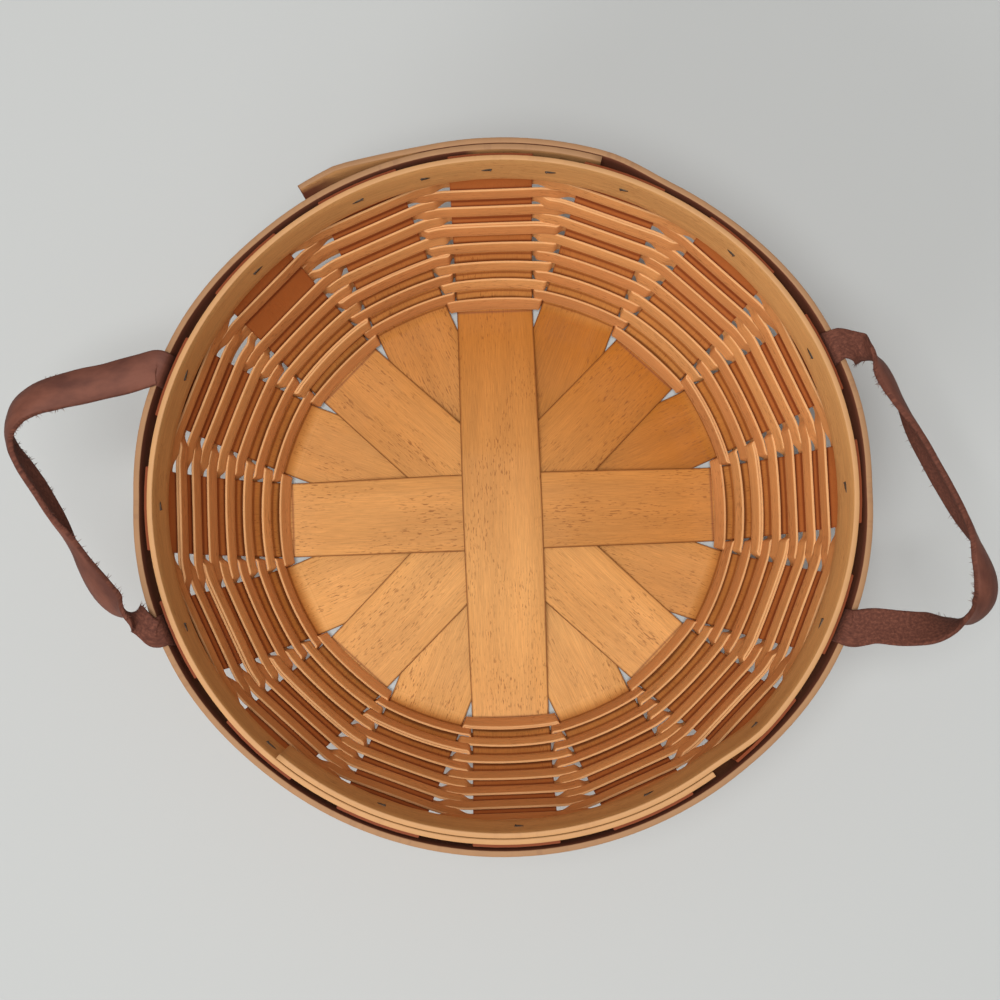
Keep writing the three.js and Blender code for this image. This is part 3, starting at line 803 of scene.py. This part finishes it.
def weaver(row):
    along = row_along(row)
    low_radius = course_at(along - WEAVER_WIDTH / 2)[0]
    half_space = low_radius * math.tan(math.radians(UPRIGHT_STEP / 2)) - upright_width(along) / 2
    turn_at = upright_width(along) / 2 + EDGE_SHARE * half_space
    stay = STAY_FOOT + (STAY_TOP - STAY_FOOT) * smooth((row - STAY_ROWS) / STAY_ROWS)
    lean = math.radians(LEAN_TOP + (LEAN_FOOT - LEAN_TOP) * max(0, 1 - row / LEAN_ROWS))
    sag = sag_at(along)
    cup = cup_at(along)
    half_width = upright_width(along) / 2
    lap_layer = LOOK_THICKNESS + LOOK_CLEARANCE
    runs = []
    for number in range(PASSES):
        inside = is_inside(row, number)
        tilt = lean + math.radians(rng.uniform(*LEAN_WANDER))
        lift = UPRIGHT_THICKNESS / 2 + LOOK_CLEARANCE
        lift += (LOOK_THICKNESS * math.cos(tilt) + LOOK_WIDTH * abs(math.sin(tilt))) / 2
        offset = lift + sag if inside else -lift
        if number < LAP_PASSES and not inside:
            offset -= lap_layer
        if number >= UPRIGHT_COUNT and inside:
            offset += lap_layer
        bearing = (row_start(row) + number) * UPRIGHT_STEP
        centre, across, up, inward = wall_frame(LEVELS[row][number], bearing)
        ends = (0.0 if number == 0 else -turn_at, 0.0 if number == PASSES - 1 else turn_at)
        beside = np.linspace(*ends, RUN_STEPS)[:, None]
        line = centre + across * beside + inward * cup * (beside / half_width) ** 2
        slopes = [2 * cup * end / half_width**2 for end in ends]
        ways = [unit(across + inward * slope) for slope in slopes]
        runs.append((line, ways, up * math.cos(tilt) + inward * math.sin(tilt), inward, offset))
    centres = []
    ups = []
    for number, (line, ways, up, inward, offset) in enumerate(runs):
        centres.extend(line + inward * offset)
        ups.extend([up] * RUN_STEPS)
        if number + 1 < PASSES:
            next_line, next_ways, next_up, next_inward, next_offset = runs[number + 1]
            span = np.linalg.norm(next_line[0] - line[-1])
            diving = next_offset < offset
            for step in range(1, SPACE_STEPS):
                t = step / SPACE_STEPS
                flat = (
                    (2 * t**3 - 3 * t**2 + 1) * line[-1]
                    + (t**3 - 2 * t**2 + t) * span * ways[1]
                    + (3 * t**2 - 2 * t**3) * next_line[0]
                    + (t**3 - t**2) * span * next_ways[0]
                )
                share = smooth((t - (stay if diving else 0)) / (1 - stay))
                stand = offset + (next_offset - offset) * share
                centres.append(flat + unit(inward + (next_inward - inward) * t) * stand)
                ups.append(up + (next_up - up) * t)
    centres = np.array(centres)
    ups = unit(np.array(ups))
    travel = unit(np.gradient(centres, axis=0))
    outs = unit(np.cross(ups, travel)) * -1
    ups = unit(np.cross(outs, travel)) * -1
    node = f"weaver_row_{row + 1:02d}"
    tone = rng.uniform(0.0, 1.0)
    piece = sweep(
        f"look_{node}",
        centres,
        ups,
        outs,
        LOOK_WIDTH,
        LOOK_THICKNESS,
        WEAVER_CORNER,
        tone,
        WEAVER_SEED + row,
    )
    settle(piece, WEAVER_WOOD, "weaver_splint", node)
    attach(piece, "basket")


# Rim

BAND_STEP = 2.0  # degrees
END_GRAIN = 0.15  # degrees that show the cut end
BAND_CORNER = 0.35
END_STAIN = 0.9
# painted shade on a band's face in the rim's gap, which is also a little dirty
GAP_SHADE_AND_DIRT = 0.95
GAP_FACE = 0.98  # share of a band's half thickness, past which a point is on its face
TIP_PAINTED_SHADE = 1.0  # painted shade on the lower part of the free end's inner face
TIP_SHADE_LENGTH = 24.0
TIP_SHADE_TOP = 3.5  # above the band's middle
BAND_STAND = 0.9  # of the outer band off the uprights, away from the straps
FREE_LENGTH = course_at(BAND_ALONG)[0] * math.radians(FREE_END_LENGTH)


def inner_offset(travel):
    lapped = smooth((travel - 360 + LAP_RAMP) / LAP_RAMP)
    return INNER_BAND_OFFSET - INNER_LAYER * lapped


def outer_layer_offset(bearing):
    """The outer band stands off the uprights to make room for the straps."""
    away = min(abs((bearing - place + 180) % 360 - 180) for place in STRAPS)
    closed = smooth((away - BAND_ROOM_FULL) / (BAND_ROOM_CLOSED - BAND_ROOM_FULL))
    room = BAND_ROOM + (BAND_STAND - BAND_ROOM) * closed
    return UPRIGHT_THICKNESS / 2 + room + OUTER_BAND_THICKNESS / 2


def spring_at(travel):
    """How far the outer band's free end has sprung away, from 1 at its tip to 0."""
    return np.clip(1 - travel / FREE_END_LENGTH, 0, 1)


def outer_offset(travel):
    lapped = smooth((travel - OUTER_LAP) / LAP_RAMP)
    lifted = OUTER_LAYER * (1 - lapped) + FREE_END_LIFT * spring_at(travel) ** 2
    return outer_layer_offset(OUTER_LAP_START - travel) + lifted


def band(node, start, lap, thickness, offset_at, free_end, seed):
    """A rim band that laps over itself. Its face in the rim's gap is painted dark as shade, and is a
    little dirty.
    """
    travels = np.linspace(0, 360 + lap, round((360 + lap) / BAND_STEP) + 1)
    travels = np.insert(travels, 1, END_GRAIN)
    spring = spring_at(travels) if free_end else np.zeros(len(travels))
    leans = np.radians(FREE_END_LEAN * spring**FREE_END_EASE)
    drops = FREE_END_DROP * np.clip(1 - travels / FREE_END_CUT, 0, 1) * (1 if free_end else 0)
    centres = []
    ups = []
    outs = []
    for travel, lean, drop in zip(travels, leans, drops):
        centre, _, up, inward = wall_frame(BAND_ALONG, start - travel)
        across = up * math.cos(lean) - inward * math.sin(lean)
        centres.append(centre - inward * offset_at(travel) - across * drop / 2)
        ups.append(across)
        outs.append(inward * math.cos(lean) + up * math.sin(lean))
    piece = sweep(
        f"look_{node}",
        np.array(centres),
        np.array(ups),
        np.array(outs),
        BAND_HEIGHT - drops,
        thickness,
        BAND_CORNER,
        PLAIN_TONE,
        seed,
        np.where(travels < END_GRAIN, END_STAIN, 0.0) if free_end else 0.0,
    )
    shade_gap(piece.data, 1 if free_end else -1)
    settle(piece, OUTER_RIM_WOOD if free_end else RIM_WOOD, "rim_splint", node)
    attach(piece, "basket")


def shade_gap(mesh, side):
    """Painted shade on the face of a band that is turned to the rim's gap, which is also a little
    dirty, and painted shade at the free end's tip.
    """
    count = len(mesh.vertices)
    face = np.empty(count, np.float32)
    mesh.attributes["face"].data.foreach_get("value", face)
    stain_and_shade = np.empty(count, np.float32)
    mesh.attributes["stain_and_shade"].data.foreach_get("value", stain_and_shade)
    grain = np.empty(count * 3, np.float32)
    mesh.attributes["grain"].data.foreach_get("vector", grain)
    along = grain[::3]
    tip = np.minimum(along, along.max() - along)
    free = FREE_LENGTH if side > 0 else 0.0
    # painted shade on the lower part of a band's ends, and painted shade on its face in the rim's gap,
    # which is also a little dirty
    shaded = TIP_PAINTED_SHADE * (1 - smooth(tip / TIP_SHADE_LENGTH)) * (grain[1::3] < TIP_SHADE_TOP)
    shade_and_dirt = np.where(tip > free, GAP_SHADE_AND_DIRT, np.maximum(stain_and_shade, shaded))
    mesh.attributes["stain_and_shade"].data.foreach_set(
        "value", np.where(face * side > GAP_FACE, shade_and_dirt, stain_and_shade).astype(np.float32)
    )


# Tacks

TACK_SIDES = 12
TACK_AXIS = 0.02  # radius at which a tack's ends close
TACK_CROWN = (0, 25, 50, 72)  # degrees
CLENCH_LENGTHS = (2.6, 4.2)  # of the point that is turned over along the band
CLENCH_TILT = 14.0
CLENCH_WIDTH = 1.2
CLENCH_DEPTH = 0.7
CLENCH_STAND = 0.1
CLENCH_SHAPE = [(-0.12, 0.05), (-0.08, 0.7), (0.1, 1.0), (0.5, 0.9), (0.85, 0.5), (1.0, 0.05)]


def tube_faces(rings, sides, first):
    """Quads between rings of points, the first point's index given."""
    faces = []
    for ring in range(rings - 1):
        for side in range(sides):
            here = first + ring * sides + side
            after = first + ring * sides + (side + 1) % sides
            faces.append((here, here + sides, after + sides, after))
    return faces


def tack(index, bearing):
    round_rim = (OUTER_LAP_START - bearing) % 360
    if round_rim < FREE_END_LENGTH / 2:
        round_rim += 360
    outer = outer_offset(round_rim) + OUTER_BAND_THICKNESS / 2
    back = (INNER_LAP_START - bearing) % 360
    inner = inner_offset(back + 360 if back < INNER_LAP else back) - INNER_BAND_THICKNESS / 2
    head = outer + CLEARANCE
    crown = [math.radians(angle) for angle in TACK_CROWN]
    profile = [(TACK_AXIS, inner - TACK_POINT), (TACK_SHANK_RADIUS, inner), (TACK_SHANK_RADIUS, head)]
    profile += [
        (TACK_HEAD_RADIUS * math.cos(angle), head + TACK_HEAD_THICKNESS * math.sin(angle))
        for angle in crown
    ]
    profile.append((TACK_AXIS, head + TACK_HEAD_THICKNESS))
    centre, across, up, inward = wall_frame(BAND_ALONG, bearing)
    points = []
    for radius, height in profile:
        for side in range(TACK_SIDES):
            angle = 2 * math.pi * side / TACK_SIDES
            beside = across * math.cos(angle) + up * math.sin(angle)
            points.append(centre - inward * height + beside * radius)
    faces = tube_faces(len(profile), TACK_SIDES, 0)
    lie = math.radians(rng.uniform(-CLENCH_TILT, CLENCH_TILT))
    length = rng.uniform(*CLENCH_LENGTHS) * rng.choice([-1, 1])
    way = (across * math.cos(lie) + up * math.sin(lie)) * length
    first = len(points)
    for share, size in CLENCH_SHAPE:
        middle = centre - inward * (inner - CLENCH_STAND) + way * share
        for side in range(TACK_SIDES):
            angle = 2 * math.pi * side / TACK_SIDES
            wide = unit(np.cross(inward, way)) * math.cos(angle) * CLENCH_WIDTH / 2
            deep = inward * math.sin(angle) * CLENCH_DEPTH / 2
            points.append(middle + (wide + deep) * size)
    faces += tube_faces(len(CLENCH_SHAPE), TACK_SIDES, first)
    node = f"rim_tack_{index + 1:02d}"
    mesh = bpy.data.meshes.new(f"look_{node}")
    mesh.from_pydata(shaped(points).tolist(), [], faces)
    mesh.polygons.foreach_set("use_smooth", np.ones(len(mesh.polygons), bool))
    piece = bpy.data.objects.new(f"look_{node}", mesh)
    bpy.context.scene.collection.objects.link(piece)
    settle(piece, TACK_METAL, "tack_metal", node)
    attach(piece, "basket")


def tack_bearings():
    bearings = []
    for number in range(UPRIGHT_COUNT):
        bearing = number * UPRIGHT_STEP
        near = [t for t in STRAPS if abs((t - bearing + 180) % 360 - 180) < UPRIGHT_STEP / 4]
        bearings.append(near[0] if near else bearing)
    return bearings + LAP_TACKS


# Handles

STRAP_STEPS = 12
STRAP_CORNER = 0.7
PINCH = {"right_handle": 0.18, "left_handle": 0.32}  # how far a strap's second root is drawn in
PINCH_PLACE = 8.0  # from the tucked part to the middle of that
PINCH_LENGTH = 7.0
STRAP_CURL = 1.4  # how far a strap's edges curl to the flesh side
CURL_EASE = 14.0
WIDTH_WAVE = 14.0
WIDTH_UNEVEN = 0.03
WAVE_RATIOS = (1.0, 1.7, 2.9)
WAVE_STARTS = (0, 100)
FRAYED = (0.3, 0.8)  # share of a strap's length that is frayed
FIBRE_COUNT = 260
FIBRE_LENGTHS = (0.8, 2.8)
FIBRE_SPREAD = (0.3, 1.0)
FIBRE_DROOP = (0.2, 1.2)
FIBRE_SWEEP = 0.8
FIBRE_WIDTH = 0.4
FIBRE_ROOT = 0.3  # how deep in the strap's edge it starts
TUCK_BEND = 0.3  # below the rim's top, where a tucked end starts to turn out
KNEE_OUT = 0.7
KNEE_DROP = 0.25
LEDGE_OUT = 2.6
RIM_RADIUS, RIM_TOP, _ = course_at(UPRIGHT_REACH)
HINGE_REACH = RIM_RADIUS + HINGE_STAND
HINGE_HEIGHT = RIM_TOP + CLEARANCE + STRAP_THICKNESS / 2


def tuck_stations(turn, bearing):
    """Points, normals and thicknesses of a tucked end, from its bottom to the hinge line."""
    centre, _, up, inward = wall_frame(BAND_ALONG, bearing)
    face = outer_layer_offset(turn + bearing) - OUTER_BAND_THICKNESS / 2
    offset = face - TUCK_SET - STRAP_TUCK_THICKNESS / 2
    middle = centre + up * BAND_HEIGHT / 2 - inward * offset
    out = outward(bearing)
    rise = np.array([0.0, 0.0, 1.0])
    knee = middle + out * KNEE_OUT
    knee[2] = HINGE_HEIGHT - KNEE_DROP
    ledge = middle + out * LEDGE_OUT
    ledge[2] = HINGE_HEIGHT
    return [
        (middle - up * STRAP_TUCK, inward, STRAP_TUCK_THICKNESS),
        (middle - up * STRAP_TUCK / 2, inward, STRAP_TUCK_THICKNESS),
        (middle - up * TUCK_BEND, inward, STRAP_TUCK_THICKNESS),
        (knee, unit(inward + rise), STRAP_TUCK_THICKNESS),
        (ledge, rise, STRAP_THICKNESS),
    ]


def spline(points, knots, at):
    """Centripetal Catmull-Rom through rows of values."""
    lead = 2 * points[0] - points[1]
    tail = 2 * points[-1] - points[-2]
    padded = np.vstack([lead, points, tail])
    times = np.concatenate([[2 * knots[0] - knots[1]], knots, [2 * knots[-1] - knots[-2]]])
    place = np.clip(np.searchsorted(knots, at, side="right") - 1, 0, len(knots) - 2)
    p = [padded[place + i] for i in range(4)]
    t = [times[place + i][:, None] for i in range(4)]
    at = at[:, None]
    a = [((t[i + 1] - at) * p[i] + (at - t[i]) * p[i + 1]) / (t[i + 1] - t[i]) for i in range(3)]
    b = [((t[i + 2] - at) * a[i] + (at - t[i]) * a[i + 1]) / (t[i + 2] - t[i]) for i in range(2)]
    return ((t[2] - at) * b[0] + (at - t[1]) * b[1]) / (t[2] - t[1])


def noise_along(length, wave, seed):
    """A smooth wander between -1 and 1."""
    waves = [math.tau * length / (wave * ratio) + seed * ratio for ratio in WAVE_RATIOS]
    return sum(np.sin(angles) for angles in waves) / len(waves)


def fibres(name, line, across, outs, width, curl, spin):
    """Short loose fibres along the edges of a strap's long run."""
    points = []
    faces = []
    low, high = FRAYED
    for _ in range(FIBRE_COUNT):
        place = int(rng.uniform(low, high) * len(line))
        side = rng.choice([-1, 1])
        reach = width[place] / 2 - FIBRE_ROOT
        root = line[place] + across[place] * side * reach + outs[place] * curl[place]
        along = unit(line[place + 1] - line[place])
        tip = across[place] * side * rng.uniform(*FIBRE_SPREAD)
        tip = tip - outs[place] * rng.uniform(*FIBRE_DROOP)
        tip = unit(tip + along * rng.uniform(-FIBRE_SWEEP, FIBRE_SWEEP)) * rng.uniform(*FIBRE_LENGTHS)
        first = len(points)
        points.extend([root - along * FIBRE_WIDTH / 2, root + along * FIBRE_WIDTH / 2])
        points.extend([root - outs[place] * FIBRE_WIDTH, root + tip])
        faces.extend([(first, first + 1, first + 3), (first + 1, first + 2, first + 3)])
        faces.extend([(first + 2, first, first + 3), (first, first + 2, first + 1)])
    mesh = bpy.data.meshes.new(f"look_{name}_fibres")
    mesh.from_pydata(shaped(np.array(points) @ spin.T).tolist(), [], faces)
    put(mesh, "grain", "FLOAT_VECTOR", np.array(points))
    put(mesh, "face", "FLOAT", np.zeros(len(points)))
    piece = bpy.data.objects.new(f"look_{name}_fibres", mesh)
    bpy.context.scene.collection.objects.link(piece)
    return piece


def strap(name):
    turn, tucks, route = HANDLES[name]
    first, last = (math.cos(math.radians(route[end][3])) for end in (0, -1))
    stations = [(point, side * first, thick) for point, side, thick in tuck_stations(turn, tucks[0])]
    points = np.array([(HINGE_REACH + out, y, HINGE_HEIGHT + up) for out, y, up, _ in route])
    travel = unit(np.gradient(points, axis=0))
    travel[0] = (1, 0, 0)
    travel[-1] = (-1, 0, 0)
    for point, (_, _, _, roll), way in zip(points, route, travel):
        level = unit(np.cross((0, 0, 1), way))
        rise = np.cross(way, level)
        across = level * math.cos(math.radians(roll)) + rise * math.sin(math.radians(roll))
        stations.append((point, np.cross(way, across), STRAP_THICKNESS))
    back = [(point, side * last, thick) for point, side, thick in tuck_stations(turn, tucks[1])]
    stations += back[::-1]
    centres, normals, thick = (np.array(column) for column in zip(*stations))
    gaps = np.sqrt(np.linalg.norm(np.diff(centres, axis=0), axis=1))
    knots = np.concatenate([[0], np.cumsum(gaps)])
    at = np.concatenate(
        [
            np.linspace(knots[i], knots[i + 1], STRAP_STEPS, endpoint=False)
            for i in range(len(knots) - 1)
        ]
        + [knots[-1:]]
    )
    line = spline(centres, knots, at)
    outs = spline(normals, knots, at)
    thickness = np.interp(at, knots, thick)
    way = unit(np.gradient(line, axis=0))
    outs = unit(outs - way * np.sum(outs * way, axis=1, keepdims=True))
    across = np.cross(outs, way)
    length = np.concatenate([[0], np.cumsum(np.linalg.norm(np.diff(line, axis=0), axis=1))])
    root = length[-1] - STRAP_TUCK - PINCH_PLACE
    pinch = PINCH[name] * np.exp(-(((length - root) / PINCH_LENGTH) ** 2))
    uneven = noise_along(length, WIDTH_WAVE, rng.uniform(*WAVE_STARTS))
    width = STRAP_WIDTH * (1 - pinch + WIDTH_UNEVEN * uneven)
    ends = np.minimum(length, length[-1] - length) - STRAP_TUCK
    curl = -STRAP_CURL * np.array([smooth(end / CURL_EASE) for end in ends])
    spin = np.array(Matrix.Rotation(math.radians(turn), 3, "Z"))
    piece = sweep(
        f"look_{name}_strap",
        line @ spin.T,
        across @ spin.T,
        outs @ spin.T,
        width,
        thickness,
        STRAP_CORNER,
        PLAIN_TONE,
        STRAP_SEEDS[name],
        cup=curl,
    )
    settle(piece, LEATHER, "leather_strap", f"{name}_loop", f"{name}_tuck_a", f"{name}_tuck_b")
    frayed = fibres(name, line, across, outs, width, curl, spin)
    settle(frayed, LEATHER, "leather_strap", f"{name}_loop")
    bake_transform(piece)
    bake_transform(frayed)


for order in range(len(STACK)):
    upright(order)
for row in range(ROW_COUNT):
    weaver(row)
band(
    "inner_rim_band",
    INNER_LAP_START,
    INNER_LAP,
    INNER_BAND_THICKNESS,
    inner_offset,
    False,
    INNER_BAND_SEED,
)
band(
    "outer_rim_band",
    OUTER_LAP_START,
    OUTER_LAP,
    OUTER_BAND_THICKNESS,
    outer_offset,
    True,
    OUTER_BAND_SEED,
)
for index, bearing in enumerate(tack_bearings()):
    tack(index, bearing)
for name in HANDLES:
    strap(name)


# Stage, light and camera, in metres

FLOOR_SIZE = 6.0
FLOOR_COLOUR = srgb(184, 187, 186)
LAMPS = {
    # place, width and power
    "overhead": ((-0.18, -0.18, 1.8), 0.9, 27.8),
    "side": ((-2.4, -2.8, 1.9), 2.0, 64.0),
}
ZENITH = 0.4
HORIZON = (0.18, 0.105, 0.07, 1.0)
BACKDROP = 0.72


def floor():
    half = FLOOR_SIZE / 2
    mesh = bpy.data.meshes.new("floor")
    mesh.from_pydata(
        [(-half, -half, 0), (half, -half, 0), (half, half, 0), (-half, half, 0)], [], [(0, 1, 2, 3)]
    )
    plane = bpy.data.objects.new("floor", mesh)
    bpy.context.scene.collection.objects.link(plane)
    material, _, shader = nodes_for("floor_paper")
    shader.inputs["Base Color"].default_value = FLOOR_COLOUR
    shader.inputs["Roughness"].default_value = 0.9
    shader.inputs["Specular IOR Level"].default_value = 0.1
    mesh.materials.append(material)


def light():
    for name, (place, width, power) in LAMPS.items():
        lamp = bpy.data.lights.new(name, "AREA")
        lamp.shape = "DISK"
        lamp.size = width
        lamp.energy = power
        holder = bpy.data.objects.new(name, lamp)
        holder.location = place
        holder.rotation_euler = Vector(place).to_track_quat("Z", "Y").to_euler()
        bpy.context.scene.collection.objects.link(holder)
    world = bpy.data.worlds.new("studio")
    world.use_nodes = True
    tree = world.node_tree
    way = add(tree, "ShaderNodeTexCoord").outputs["Generated"]
    height = add(tree, "ShaderNodeSeparateXYZ", {"Vector": way}).outputs["Z"]
    sky = ramp(tree, height, [(0.0, HORIZON), (1.0, grey(ZENITH))])
    path = add(tree, "ShaderNodeLightPath").outputs
    seen = path["Is Camera Ray"]
    for kind in ("Is Glossy Ray", "Is Transmission Ray"):
        seen = add(tree, "ShaderNodeMath", {0: seen, 1: path[kind]}, operation="MAXIMUM").outputs[0]
    colour = mix(tree, seen, sky, grey(BACKDROP))
    tree.links.new(colour, tree.nodes["Background"].inputs["Color"])
    bpy.context.scene.world = world


def camera():
    data = bpy.data.cameras.new("camera")
    data.sensor_width = CAMERA_SENSOR
    data.lens = CAMERA_LENS
    holder = bpy.data.objects.new("camera", data)
    tilt = math.radians(CAMERA_TILT)
    spin = Matrix.Rotation(math.radians(-CAMERA_ROLL), 3, "Z")
    view = spin @ Vector((0, math.sin(tilt), -math.cos(tilt)))
    top = spin @ Vector((0, math.cos(tilt), math.sin(tilt)))
    right = spin @ Vector((1, 0, 0))
    rotation = Matrix((right, top, -view)).transposed().to_4x4()
    place = (Vector(CAMERA_TARGET) - view * CAMERA_DISTANCE) * MM
    holder.matrix_world = Matrix.Translation(place) @ rotation
    bpy.context.scene.collection.objects.link(holder)
    bpy.context.scene.camera = holder


floor()
light()
camera()
bpy.context.scene.view_settings.view_transform = "Standard"
